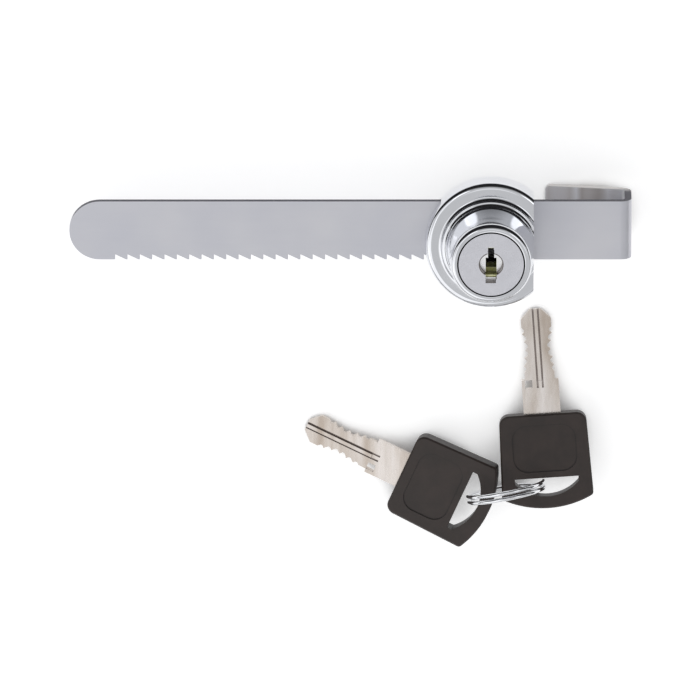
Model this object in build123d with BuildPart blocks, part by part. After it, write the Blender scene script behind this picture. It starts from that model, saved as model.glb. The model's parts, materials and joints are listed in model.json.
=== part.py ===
from build123d import *
from math import cos, radians, sin, tan
import os

os.makedirs("parts", exist_ok=True)

# Ratchet lock for the sliding glass doors of a showcase, with two keys on a split ring.
# X runs along the bar towards its hook, Y from the toothed edge to the plain edge, and Z along
# the plug towards the user. The origin is on the bar's glass side, on its centre line, level
# with the plug axis while the head is in its rest place.

# Ratchet bar
BAR_WIDTH = 14.8
BAR_THICKNESS = 1.6
TIP_TO_AXIS = 102.3
AXIS_TO_BEND = 34.2
TOOTH_PITCH = 3.0
TOOTH_DEPTH = 1.3
TOOTH_LAND = 0.35
TOOTH_COUNT = 33
FIRST_NOTCH_FROM_TIP = 11.1

# Hook that goes round the glass edge
GLASS_GAP = 7.6
HOOK_BEND_RADIUS = 1.0
HOOK_LEG_LENGTH = 20.7
HOOK_FLARE_DEG = 9.0
HOOK_CORNER_RADIUS = 1.0
HOOK_LAP = 1.0

# Lock head, turned about the plug axis, which lies below the bar's centre line
AXIS_DROP = 2.8
FLANGE_RADIUS = 15.9
FLANGE_EDGE_ANGLES = (0, 18, 36, 54, 72, 90)
FLANGE_EDGE_RADIUS = 2.0
FLANGE_ABOVE_BAR = 4.0
REAR_EDGE_CHAMFER = 0.5
DOOR_FLAT_FROM_AXIS = 10.4
BEAD_RADIUS = 11.9
BEAD_HEIGHT = 1.3
BEAD_BEVEL = 0.5
NECK_RADIUS = 9.6
NECK_WAIST_RADIUS = 10.2
NECK_WAIST_HEIGHT = 4.1
RIM_RADIUS = 9.95
RIM_BEVEL = 0.6
RIM_HEIGHT = 2.6
RIM_FLARE_HEIGHT = 0.9
HEAD_ABOVE_BAR = 18.1
CHANNEL_CLEARANCE = 0.12
CHANNEL_SIDE_CLEARANCE = 0.18
FACE_CHAMFER = 0.2

# Rear cover and its screws
COVER_THICKNESS = 1.2
COVER_RADIUS = 14.1
COVER_WALL_AT_FLAT = 1.5
COVER_CLEARANCE = 0.1
SCREW_RADIUS = 1.0
SCREW_HEAD_RADIUS = 1.75
SCREW_LENGTH = 4.2
SCREW_SLOT_WIDTH = 0.5
SCREW_SLOT_DEPTH = 0.4
SCREW_HOLE_SPARE = 0.3
SCREW_PLACES = ((0.0, 9.4), (-9.6, -10.3))

# Cylinder plug
PLUG_RADIUS = 6.5
PLUG_FACE_RADIUS = 8.1
PLUG_FACE_THICKNESS = 1.6
PLUG_CLEARANCE = 0.06
PLUG_END_ABOVE_BAR = 0.4
CAM_RADIUS = 5.05
CAM_THICKNESS = 2.1
CAM_THROW = 1.414
CAM_START_DEG = -45.0

# Keyway
KEYHOLE_RADIUS = 2.8
SLOT_TOP_WIDTH = 1.5
SLOT_TOP_OFFSET = -0.1
SLOT_TOP_REACH = 4.5
SLOT_BOTTOM_WIDTH = 2.5
SLOT_BOTTOM_OFFSET = -0.1
SLOT_BOTTOM_REACH = 4.7
SLOT_LEAD_DEPTH = 1.8
SLOT_CLEARANCE = 0.1
KEYHOLE_DEPTH = 1.8
COLUMN_WIDTH = 2.65
COLUMN_TOP_REACH = 1.2
TIP_SLOT_REACH = 3.2

# Wafers
WAFER_COUNT = 6
WAFER_PITCH = 1.9
WAFER_THICKNESS = 1.0
WAFER_WIDTH = 5.0
WAFER_FIRST_DEPTH = 2.7
WAFER_CLEARANCE = 0.06
WAFER_THROW = 0.9
WINDOW_WIDTH = 2.6
CUT_DEPTHS = (0.5, 0.8, 1.2, 1.3, 1.0, 0.6)
LUG_REACH = 1.2
LUG_HALF_HEIGHT = 0.6
WAFER_SPRING_LENGTH = 2.0
WAFER_SPRING_RADIUS = 0.45
WAFER_SPRING_BORE = 0.28
GROOVE_CLEARANCE = 0.15

# Clip that holds the plug in the head
CLIP_THICKNESS = 0.6
CLIP_RADIUS = 7.3
CLIP_GROOVE_RADIUS = 5.6
CLIP_MOUTH = 9.0
CLIP_MOUTH_DEPTH = 2.8
CLIP_GAP = 0.1

# Pawl, a toothed yoke round the plug's cam
PAWL_THICKNESS = 2.0
PAWL_LEFT = 5.8
PAWL_RIGHT = 8.2
PAWL_RAIL = 1.3
PAWL_BASE = 1.9
PAWL_MESH_GAP = 0.15
PAWL_YOKE_GAP = 0.08
PAWL_SIDE_GAP = 0.15
RATCHET_PLAY = 1.5
PAWL_GAP_TO_BAR = 0.3

# Pawl spring
SPRING_RADIUS = 1.35
SPRING_WIRE_RADIUS = 0.2
SPRING_TURNS = 4
SPRING_SEAT_GAP = 0.1
SPRING_ROOM = 3.2

# Keys
KEY_THICKNESS = 1.4
KEY_BLADE_LENGTH = 17.5
KEY_BLADE_WIDTH = 7.3
KEY_TIP_WIDTH = 2.6
KEY_TIP_LENGTH = 2.4
KEY_SHANK_LENGTH = 8.4
KEY_SHANK_WIDTH = 9.0
KEY_RAIL_WIDTH = 0.8
KEY_RAIL_HEIGHT = 1.0
KEY_NOTCH_WIDTH = 1.8
KEY_NOTCH_DEPTH = 2.0
KEY_TANG_LENGTH = 8.0
KEY_TANG_WIDTH = 6.0
KEY_RIB_WIDTH = 0.8
KEY_RIB_HEIGHT = 0.4
KEY_GROOVE_WIDTH = 0.45
KEY_GROOVE_DEPTH = 0.35
CUT_FLOOR = 0.5
CUT_RUN = 0.63
HEAD_WIDTH = 21.2
HEAD_WIDTH_AT_ARCH = 22.4
HEAD_LENGTH = 20.5
HEAD_THICKNESS = 4.4
HEAD_ARCH = 2.8
HEAD_CORNER_RADIUS = 2.4
HEAD_ARCH_CORNER_RADIUS = 1.0
HEAD_EDGE_BEVEL = 0.4
PANEL_WIDTH = 15.6
PANEL_LENGTH = 11.6
PANEL_CORNER_RADIUS = 3.6
PANEL_DEPTH = 0.3
PANEL_FROM_BLADE = 2.6
RING_SLOT_LENGTH = 15.6
RING_SLOT_FROM_BLADE = 15.7
RING_SLOT_WIDTH = 4.6
RING_SLOT_SIDE = 1.2

# Key bunch, lying below the toothed edge
KEY_TILT_DEG = 9.0
LEFT_KEY_PLACE = (-21.2, -64.5)
LEFT_KEY_TURN_DEG = 66.0
RIGHT_KEY_PLACE = (12.75, -49.9)
RIGHT_KEY_TURN_DEG = 4.0

# Split ring
RING_RADIUS = 9.4
RING_WIRE_WIDTH = 1.0
RING_WIRE_HEIGHT = 1.0
RING_TURN_GAP = 0.42
RING_TURNS = 1.9
RING_CENTRE = (4.0, -68.6)
RING_YAW_DEG = 10.0
RING_LEAN_DEG = 78.0
RING_ABOVE_TABLE = 0.4

# Places worked out from the sizes above
half_bar = BAR_WIDTH / 2
tip_x = -TIP_TO_AXIS
first_notch_x = tip_x + FIRST_NOTCH_FROM_TIP
last_notch_x = first_notch_x + TOOTH_COUNT * TOOTH_PITCH
bend_x = AXIS_TO_BEND - BAR_THICKNESS / 2
strip_end_x = AXIS_TO_BEND - BAR_THICKNESS - HOOK_BEND_RADIUS
hook_leg_z = -GLASS_GAP - BAR_THICKNESS / 2
hook_end_x = AXIS_TO_BEND - HOOK_LEG_LENGTH
hook_end_z = hook_leg_z - (bend_x - hook_end_x) * tan(radians(HOOK_FLARE_DEG))
table_z = hook_end_z - BAR_THICKNESS / 2 * cos(radians(HOOK_FLARE_DEG))
axis_y = -AXIS_DROP
cover_front_z = -CHANNEL_CLEARANCE
rear_z = cover_front_z - COVER_THICKNESS
flange_z = BAR_THICKNESS + FLANGE_ABOVE_BAR
face_z = BAR_THICKNESS + HEAD_ABOVE_BAR
plug_axis = Axis((0, axis_y, 0), (0, 0, 1))
plug_end_z = BAR_THICKNESS + PLUG_END_ABOVE_BAR
cam_top_z = plug_end_z + CAM_THICKNESS
clip_z = cam_top_z + CLIP_GAP
bore_end_z = clip_z + CLIP_THICKNESS + CLIP_GAP
barrel_top_z = face_z - PLUG_FACE_THICKNESS
cam_x = CAM_THROW * cos(radians(CAM_START_DEG))
cam_y = axis_y + CAM_THROW * sin(radians(CAM_START_DEG))
pawl_lift = 2 * CAM_THROW * sin(radians(abs(CAM_START_DEG)))
pawl_z = BAR_THICKNESS + PAWL_GAP_TO_BAR
pawl_top_z = pawl_z + PAWL_THICKNESS
pawl_tip_y = -half_bar + TOOTH_DEPTH - PAWL_MESH_GAP - pawl_lift
pawl_root_y = pawl_tip_y - TOOTH_DEPTH
pawl_bottom_y = pawl_root_y - PAWL_BASE
window_bottom_y = cam_y - CAM_RADIUS - PAWL_YOKE_GAP
window_top_y = cam_y + CAM_RADIUS + RATCHET_PLAY + PAWL_YOKE_GAP
pawl_head_y = window_top_y + PAWL_RAIL
pocket_bottom_y = pawl_bottom_y - SPRING_ROOM
pocket_top_y = pawl_head_y + pawl_lift + PAWL_SIDE_GAP


def wafer_height(index):
    """Height of a wafer's middle on the plug axis."""
    return face_z - WAFER_FIRST_DEPTH - index * WAFER_PITCH


def wafer_side(index):
    """Side that a wafer slides to: +1 for +Y and -1 for -Y, in turn."""
    return 1 if index % 2 == 0 else -1


def save(piece, name):
    """Name a finished piece and write it as one STEP file."""
    piece.label = name
    export_step(piece, f"parts/{name}.step")


# Ratchet bar: flat strip with a round tip and saw teeth, bent back into a hook
with BuildPart() as ratchet_bar:
    with BuildSketch(Plane.XY):
        with BuildLine():
            Line((strip_end_x, half_bar), (tip_x + half_bar, half_bar))
            ThreePointArc((tip_x + half_bar, half_bar), (tip_x, 0), (tip_x + half_bar, -half_bar))
            Line((tip_x + half_bar, -half_bar), (first_notch_x, -half_bar))
            teeth = [(first_notch_x, -half_bar)]
            for tooth in range(TOOTH_COUNT):
                notch_x = first_notch_x + tooth * TOOTH_PITCH
                teeth.append((notch_x, -half_bar + TOOTH_DEPTH))
                teeth.append((notch_x + TOOTH_PITCH - TOOTH_LAND, -half_bar))
                teeth.append((notch_x + TOOTH_PITCH, -half_bar))
            Polyline(*teeth)
            Line((last_notch_x, -half_bar), (strip_end_x, -half_bar))
            Line((strip_end_x, -half_bar), (strip_end_x, half_bar))
        make_face()
    extrude(amount=BAR_THICKNESS)
    middle_z = BAR_THICKNESS / 2
    hook_start = Plane(origin=(strip_end_x - HOOK_LAP, 0, middle_z), x_dir=(0, 1, 0), z_dir=(1, 0, 0))
    with BuildLine() as hook_path:
        FilletPolyline(
            hook_start.origin,
            (bend_x, 0, middle_z),
            (bend_x, 0, hook_leg_z),
            (hook_end_x, 0, hook_end_z),
            radius=HOOK_BEND_RADIUS + BAR_THICKNESS / 2,
        )
    with BuildSketch(hook_start):
        Rectangle(BAR_WIDTH, BAR_THICKNESS)
    sweep(path=hook_path.wires()[0])
    leg_tip = ratchet_bar.faces().filter_by(lambda f: f.center().Z < hook_leg_z).sort_by(Axis.X)[0]
    corners = leg_tip.edges().filter_by(lambda e: e.length < HOOK_LEG_LENGTH / 4)
    fillet(corners, radius=HOOK_CORNER_RADIUS)
save(ratchet_bar.part, "ratchet_bar")


# Lock housing: stepped flange with a flat for the door edge, flared neck and rounded rim
with BuildPart() as lock_housing:
    bead_z = flange_z + BEAD_HEIGHT
    rim_z = face_z - RIM_HEIGHT
    flange_edge = [
        (
            FLANGE_RADIUS - FLANGE_EDGE_RADIUS * (1 - cos(radians(angle))),
            flange_z - FLANGE_EDGE_RADIUS * (1 - sin(radians(angle))),
        )
        for angle in FLANGE_EDGE_ANGLES
    ]
    with BuildSketch(Plane(origin=(0, axis_y, 0), x_dir=(1, 0, 0), z_dir=(0, -1, 0))):
        with BuildLine():
            Polyline(
                (0, face_z),
                (0, rear_z),
                (FLANGE_RADIUS - REAR_EDGE_CHAMFER, rear_z),
                (FLANGE_RADIUS, rear_z + REAR_EDGE_CHAMFER),
                *flange_edge,
                (BEAD_RADIUS, flange_z),
                (BEAD_RADIUS, bead_z - BEAD_BEVEL),
                (BEAD_RADIUS - BEAD_BEVEL, bead_z),
            )
            ThreePointArc(
                (BEAD_RADIUS - BEAD_BEVEL, bead_z),
                (NECK_WAIST_RADIUS, bead_z + NECK_WAIST_HEIGHT),
                (NECK_RADIUS, rim_z),
            )
            Polyline(
                (NECK_RADIUS, rim_z),
                (RIM_RADIUS, rim_z + RIM_FLARE_HEIGHT),
                (RIM_RADIUS, face_z - RIM_BEVEL),
                (RIM_RADIUS - RIM_BEVEL, face_z),
                (0, face_z),
            )
        make_face()
    revolve(axis=plug_axis)
    split(bisect_by=Plane(origin=(DOOR_FLAT_FROM_AXIS, 0, 0), z_dir=(1, 0, 0)), keep=Keep.BOTTOM)

    # Channel that the bar slides through
    channel_height = BAR_THICKNESS + 2 * CHANNEL_CLEARANCE
    with BuildSketch(Plane.YZ):
        with Locations((0, BAR_THICKNESS / 2)):
            Rectangle(BAR_WIDTH + 2 * CHANNEL_SIDE_CLEARANCE, channel_height)
    extrude(amount=2 * FLANGE_RADIUS, both=True, mode=Mode.SUBTRACT)

    # Recess for the rear cover
    recess_flat_x = DOOR_FLAT_FROM_AXIS - COVER_WALL_AT_FLAT
    with BuildSketch(Plane.XY.offset(rear_z)):
        with Locations((0, axis_y)):
            Circle(COVER_RADIUS + COVER_CLEARANCE)
        with Locations((recess_flat_x - FLANGE_RADIUS, axis_y)):
            Rectangle(2 * FLANGE_RADIUS, 2 * FLANGE_RADIUS, mode=Mode.INTERSECT)
    extrude(amount=COVER_THICKNESS, mode=Mode.SUBTRACT)

    # Pocket for the pawl and its spring
    pocket_left = -PAWL_LEFT - PAWL_SIDE_GAP
    pocket_right = PAWL_RIGHT + PAWL_SIDE_GAP
    pocket_top_z = pawl_top_z + PAWL_SIDE_GAP
    with BuildSketch(Plane.XY.offset(cover_front_z)):
        with BuildLine():
            Polyline(
                (pocket_left, pocket_bottom_y),
                (pocket_right, pocket_bottom_y),
                (pocket_right, pocket_top_y),
                (pocket_left, pocket_top_y),
                close=True,
            )
        make_face()
    extrude(amount=pocket_top_z - cover_front_z, mode=Mode.SUBTRACT)

    # Stepped bore for the plug, with the clip's room at its inner end
    with BuildSketch(Plane.XY.offset(plug_end_z)):
        with Locations((0, axis_y)):
            Circle(CLIP_RADIUS + PAWL_SIDE_GAP)
    extrude(amount=bore_end_z - plug_end_z, mode=Mode.SUBTRACT)
    with BuildSketch(Plane.XY.offset(bore_end_z)):
        with Locations((0, axis_y)):
            Circle(PLUG_RADIUS + PLUG_CLEARANCE)
    extrude(amount=face_z - bore_end_z, mode=Mode.SUBTRACT)
    with BuildSketch(Plane.XY.offset(barrel_top_z - PLUG_CLEARANCE)):
        with Locations((0, axis_y)):
            Circle(PLUG_FACE_RADIUS + PLUG_CLEARANCE)
    extrude(amount=PLUG_FACE_THICKNESS + 2 * PLUG_CLEARANCE, mode=Mode.SUBTRACT)

    # Four grooves that the wafers lock into, a quarter turn apart
    groove_reach = PLUG_RADIUS + WAFER_THROW + GROOVE_CLEARANCE
    groove_start_z = wafer_height(WAFER_COUNT - 1) - WAFER_THICKNESS
    with BuildSketch(Plane.XY.offset(groove_start_z)):
        with Locations((0, axis_y)):
            Rectangle(WAFER_WIDTH + 2 * GROOVE_CLEARANCE, 2 * groove_reach)
            Rectangle(2 * groove_reach, WAFER_WIDTH + 2 * GROOVE_CLEARANCE)
    extrude(amount=barrel_top_z - groove_start_z, mode=Mode.SUBTRACT)

    # Screw holes for the cover
    with BuildSketch(Plane.XY.offset(cover_front_z)):
        with Locations(*SCREW_PLACES):
            Circle(SCREW_RADIUS)
    extrude(amount=SCREW_LENGTH - COVER_THICKNESS + SCREW_HOLE_SPARE, mode=Mode.SUBTRACT)

    # Fine bevel round the mouth of the bore, which shows as the dark ring round the plug
    mouth = lock_housing.edges().filter_by(GeomType.CIRCLE).group_by(Axis.Z)[-1].sort_by(SortBy.RADIUS)[:1]
    chamfer(mouth, length=FACE_CHAMFER)
save(lock_housing.part, "lock_housing")


# Rear cover: thin plate let into the back of the head, flush with its rim
with BuildPart() as rear_cover:
    with BuildSketch(Plane.XY.offset(rear_z)):
        with Locations((0, axis_y)):
            Circle(COVER_RADIUS)
        with Locations((recess_flat_x - COVER_CLEARANCE - FLANGE_RADIUS, axis_y)):
            Rectangle(2 * FLANGE_RADIUS, 2 * FLANGE_RADIUS, mode=Mode.INTERSECT)
    extrude(amount=COVER_THICKNESS)
    rear_plane = Plane(origin=(0, 0, rear_z), x_dir=(1, 0, 0), z_dir=(0, 0, -1))
    with Locations(*[rear_plane * Location((x, -y, 0)) for x, y in SCREW_PLACES]):
        CounterSinkHole(radius=SCREW_RADIUS, counter_sink_radius=SCREW_HEAD_RADIUS)
save(rear_cover.part, "rear_cover")


# Cover screws: countersunk, slotted
with BuildPart() as cover_screws:
    for screw_x, screw_y in SCREW_PLACES:
        head_cone_z = rear_z + SCREW_HEAD_RADIUS - SCREW_RADIUS
        with BuildSketch(Plane(origin=(screw_x, screw_y, 0), x_dir=(1, 0, 0), z_dir=(0, -1, 0))):
            with BuildLine():
                Polyline(
                    (0, rear_z),
                    (SCREW_HEAD_RADIUS, rear_z),
                    (SCREW_RADIUS, head_cone_z),
                    (SCREW_RADIUS, rear_z + SCREW_LENGTH),
                    (0, rear_z + SCREW_LENGTH),
                    close=True,
                )
            make_face()
        revolve(axis=Axis((screw_x, screw_y, 0), (0, 0, 1)))
        with BuildSketch(Plane.XY.offset(rear_z)):
            with Locations((screw_x, screw_y)):
                Rectangle(2 * SCREW_HEAD_RADIUS, SCREW_SLOT_WIDTH)
        extrude(amount=SCREW_SLOT_DEPTH, mode=Mode.SUBTRACT)
save(cover_screws.part, "cover_screws")


# Cylinder plug: face disc, barrel, clip groove and the eccentric cam that drives the pawl
with BuildPart() as cylinder_plug:
    with BuildSketch(Plane.XY.offset(plug_end_z)):
        with Locations((cam_x, cam_y)):
            Circle(CAM_RADIUS)
    extrude(amount=CAM_THICKNESS)
    with BuildSketch(Plane.XY.offset(cam_top_z)):
        with Locations((0, axis_y)):
            Circle(CLIP_GROOVE_RADIUS)
    extrude(amount=bore_end_z - cam_top_z)
    with BuildSketch(Plane.XY.offset(bore_end_z - CLIP_GAP / 2)):
        with Locations((0, axis_y)):
            Circle(PLUG_RADIUS)
    extrude(amount=barrel_top_z - bore_end_z + CLIP_GAP / 2)
    with BuildSketch(Plane.XY.offset(barrel_top_z)):
        with Locations((0, axis_y)):
            Circle(PLUG_FACE_RADIUS)
    extrude(amount=PLUG_FACE_THICKNESS)
    chamfer(cylinder_plug.edges().filter_by(GeomType.CIRCLE).group_by(Axis.Z)[-1], length=FACE_CHAMFER)

    # Keyway: slot for the blade, wider below its middle, with a lane for the ribs to the end
    blade_reach = KEY_BLADE_WIDTH / 2 + SLOT_CLEARANCE
    rib_reach = KEY_RIB_WIDTH / 2 + SLOT_CLEARANCE
    for floor_z, width, low, high in (
        (plug_end_z, SLOT_TOP_WIDTH, -TIP_SLOT_REACH, TIP_SLOT_REACH),
        (plug_end_z, COLUMN_WIDTH, -rib_reach, rib_reach),
        (cam_top_z, SLOT_TOP_WIDTH, -blade_reach, blade_reach),
        (cam_top_z, COLUMN_WIDTH, -blade_reach, COLUMN_TOP_REACH),
    ):
        with BuildSketch(Plane.XY.offset(floor_z)):
            with Locations((0, axis_y + (low + high) / 2)):
                Rectangle(width, high - low)
        extrude(amount=face_z - floor_z, mode=Mode.SUBTRACT)

    # Shallow round hole and the lead slots above and below it
    with BuildSketch(Plane.XY.offset(face_z - KEYHOLE_DEPTH)):
        with Locations((0, axis_y)):
            Circle(KEYHOLE_RADIUS)
    extrude(amount=KEYHOLE_DEPTH, mode=Mode.SUBTRACT)
    with BuildSketch(Plane.XY.offset(face_z - SLOT_LEAD_DEPTH)):
        with Locations((SLOT_TOP_OFFSET, axis_y + SLOT_TOP_REACH / 2)):
            Rectangle(SLOT_TOP_WIDTH, SLOT_TOP_REACH)
        with Locations((SLOT_BOTTOM_OFFSET, axis_y - SLOT_BOTTOM_REACH / 2)):
            Rectangle(SLOT_BOTTOM_WIDTH, SLOT_BOTTOM_REACH)
    extrude(amount=SLOT_LEAD_DEPTH, mode=Mode.SUBTRACT)

    # Cross slots for the wafers, each with a side pocket for its spring
    for index in range(WAFER_COUNT):
        side = wafer_side(index)
        slot_thickness = WAFER_THICKNESS + 2 * WAFER_CLEARANCE
        pocket_low = -LUG_HALF_HEIGHT - WAFER_SPRING_LENGTH - WAFER_CLEARANCE
        pocket_high = LUG_HALF_HEIGHT + WAFER_THROW + WAFER_CLEARANCE
        with BuildSketch(Plane.XY.offset(wafer_height(index) - slot_thickness / 2)):
            with Locations((0, axis_y)):
                Rectangle(WAFER_WIDTH + 2 * WAFER_CLEARANCE, 2 * PLUG_FACE_RADIUS)
            with Locations(
                (
                    side * (WAFER_WIDTH + LUG_REACH) / 2,
                    axis_y + side * (pocket_low + pocket_high) / 2,
                )
            ):
                Rectangle(LUG_REACH + 2 * WAFER_CLEARANCE, pocket_high - pocket_low)
        extrude(amount=slot_thickness, mode=Mode.SUBTRACT)
save(cylinder_plug.part, "cylinder_plug")


# Wafers: plates across the plug, each with a window for the key and a lug for its spring
for index in range(WAFER_COUNT):
    side = wafer_side(index)
    key_edge = KEY_BLADE_WIDTH / 2 - CUT_DEPTHS[index] + WAFER_CLEARANCE
    far_edge = KEY_BLADE_WIDTH / 2 + SLOT_CLEARANCE
    with BuildPart() as wafer:
        with BuildSketch(Plane.XY.offset(wafer_height(index) - WAFER_THICKNESS / 2)):
            with Locations((0, axis_y)):
                Circle(PLUG_RADIUS - WAFER_CLEARANCE)
                Rectangle(WAFER_WIDTH, 2 * PLUG_FACE_RADIUS, mode=Mode.INTERSECT)
            with Locations((side * (WAFER_WIDTH + LUG_REACH) / 2, axis_y)):
                Rectangle(LUG_REACH, 2 * LUG_HALF_HEIGHT)
            with Locations((0, axis_y + side * (far_edge - key_edge) / 2)):
                Rectangle(WINDOW_WIDTH, far_edge + key_edge, mode=Mode.SUBTRACT)
        extrude(amount=WAFER_THICKNESS)
    save(wafer.part, f"wafer_{index + 1}")


# Wafer springs: each stands in its side pocket, under the wafer's lug
with BuildPart() as wafer_springs:
    for index in range(WAFER_COUNT):
        side = wafer_side(index)
        spring_foot = Plane(
            origin=(
                side * (WAFER_WIDTH + LUG_REACH) / 2,
                axis_y - side * (LUG_HALF_HEIGHT + WAFER_SPRING_LENGTH),
                wafer_height(index),
            ),
            x_dir=(1, 0, 0),
            z_dir=(0, side, 0),
        )
        with BuildSketch(spring_foot):
            RegularPolygon(WAFER_SPRING_RADIUS, 8)
            RegularPolygon(WAFER_SPRING_BORE, 8, mode=Mode.SUBTRACT)
        extrude(amount=WAFER_SPRING_LENGTH)
save(wafer_springs.part, "wafer_springs")


# Plug clip: open ring in the plug's groove, behind the end of the bore
with BuildPart() as plug_clip:
    with BuildSketch(Plane.XY.offset(clip_z)):
        with Locations((0, axis_y)):
            Circle(CLIP_RADIUS)
            Circle(CLIP_GROOVE_RADIUS, mode=Mode.SUBTRACT)
        with Locations((0, axis_y + CLIP_RADIUS)):
            Rectangle(CLIP_MOUTH, 2 * CLIP_MOUTH_DEPTH, mode=Mode.SUBTRACT)
    extrude(amount=CLIP_THICKNESS)
save(plug_clip.part, "plug_clip")


# Pawl: toothed foot in the plane of the bar, on a yoke round the plug's cam
with BuildPart() as pawl:
    first_tooth = int((-PAWL_LEFT - first_notch_x) // TOOTH_PITCH) + 1
    last_tooth = int((PAWL_RIGHT - first_notch_x) // TOOTH_PITCH)
    foot_z = cover_front_z + PAWL_SIDE_GAP
    with BuildSketch(Plane.XY.offset(foot_z)):
        with BuildLine():
            rack = [(-PAWL_LEFT, pawl_root_y)]
            for tooth in range(first_tooth, last_tooth):
                wall_x = first_notch_x + tooth * TOOTH_PITCH + PAWL_MESH_GAP
                rack.append((wall_x, pawl_root_y))
                rack.append((wall_x, pawl_tip_y - TOOTH_LAND * TOOTH_DEPTH / TOOTH_PITCH))
                rack.append((wall_x + TOOTH_LAND, pawl_tip_y - TOOTH_LAND * TOOTH_DEPTH / TOOTH_PITCH))
                rack.append((wall_x + TOOTH_PITCH - 2 * PAWL_MESH_GAP, pawl_root_y))
            rack.append((PAWL_RIGHT, pawl_root_y))
            rack.append((PAWL_RIGHT, pawl_bottom_y))
            rack.append((-PAWL_LEFT, pawl_bottom_y))
            Polyline(*rack, close=True)
        make_face()
    extrude(amount=BAR_THICKNESS + CHANNEL_CLEARANCE - foot_z)
    with BuildSketch(Plane.XY.offset(foot_z)):
        with BuildLine():
            Polyline(
                (-PAWL_LEFT, pawl_root_y),
                (PAWL_RIGHT, pawl_root_y),
                (PAWL_RIGHT, pawl_bottom_y),
                (-PAWL_LEFT, pawl_bottom_y),
                close=True,
            )
        make_face()
    extrude(amount=pawl_top_z - foot_z)
    window_left = cam_x - CAM_RADIUS - PAWL_SIDE_GAP
    window_right = CAM_THROW + CAM_RADIUS + PAWL_SIDE_GAP
    with BuildSketch(Plane.XY.offset(pawl_z)):
        with BuildLine():
            Polyline(
                (-PAWL_LEFT, pawl_bottom_y),
                (PAWL_RIGHT, pawl_bottom_y),
                (PAWL_RIGHT, pawl_head_y),
                (-PAWL_LEFT, pawl_head_y),
                close=True,
            )
        make_face()
        with BuildLine():
            Polyline(
                (window_left, window_bottom_y),
                (window_right, window_bottom_y),
                (window_right, window_top_y),
                (window_left, window_top_y),
                close=True,
            )
        make_face(mode=Mode.SUBTRACT)
    extrude(amount=PAWL_THICKNESS)
save(pawl.part, "pawl")


# Pawl spring: four turns standing between the pocket's end and the pawl's foot
with BuildPart() as pawl_spring:
    spring_room = pawl_bottom_y - pocket_bottom_y - 2 * SPRING_SEAT_GAP
    spring_x = (PAWL_RIGHT - PAWL_LEFT) / 2
    spring_z = (foot_z + pawl_top_z) / 2
    coil_height = spring_room - 2 * SPRING_WIRE_RADIUS
    with BuildLine() as coil:
        Helix(
            pitch=coil_height / SPRING_TURNS,
            height=coil_height,
            radius=SPRING_RADIUS,
            center=(spring_x, pocket_bottom_y + SPRING_SEAT_GAP + SPRING_WIRE_RADIUS, spring_z),
            direction=(0, 1, 0),
        )
    with BuildSketch(Plane(origin=coil.line @ 0, z_dir=coil.line % 0)):
        RegularPolygon(SPRING_WIRE_RADIUS, 6)
    sweep(path=coil.line, is_frenet=True)
save(pawl_spring.part, "pawl_spring")


def key_plane(place, turn_deg):
    """Plane of a key: its origin is where the blade leaves the head, +Y towards the tip."""
    turn = radians(turn_deg)
    tilt = radians(KEY_TILT_DEG)
    tip_reach = KEY_SHANK_LENGTH + KEY_BLADE_LENGTH
    height = table_z + tip_reach * sin(tilt) + KEY_THICKNESS / 2 * cos(tilt)
    across = Vector(cos(turn), sin(turn), 0)
    along = Vector(-sin(turn) * cos(tilt), cos(turn) * cos(tilt), -sin(tilt))
    return Plane(origin=(place[0], place[1], height), x_dir=across, z_dir=across.cross(along))


def blade_edge(side):
    """Cut edge of a blade from its shank to its tip; side is +1 for the right edge."""
    half = KEY_BLADE_WIDTH / 2
    shank_end = KEY_SHANK_LENGTH
    points = [(side * half, shank_end)]
    for index, depth in enumerate(CUT_DEPTHS):
        middle = shank_end + WAFER_FIRST_DEPTH + index * WAFER_PITCH
        floor = side * (half - depth)
        rise = min(depth, CUT_RUN)
        points.append((side * (half - depth + rise), middle - CUT_FLOOR / 2 - rise))
        points.append((floor, middle - CUT_FLOOR / 2))
        points.append((floor, middle + CUT_FLOOR / 2))
        points.append((side * (half - depth + rise), middle + CUT_FLOOR / 2 + rise))
    points.append((side * half, shank_end + KEY_BLADE_LENGTH - KEY_TIP_LENGTH))
    points.append((side * KEY_TIP_WIDTH / 2, shank_end + KEY_BLADE_LENGTH))
    return points


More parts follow.
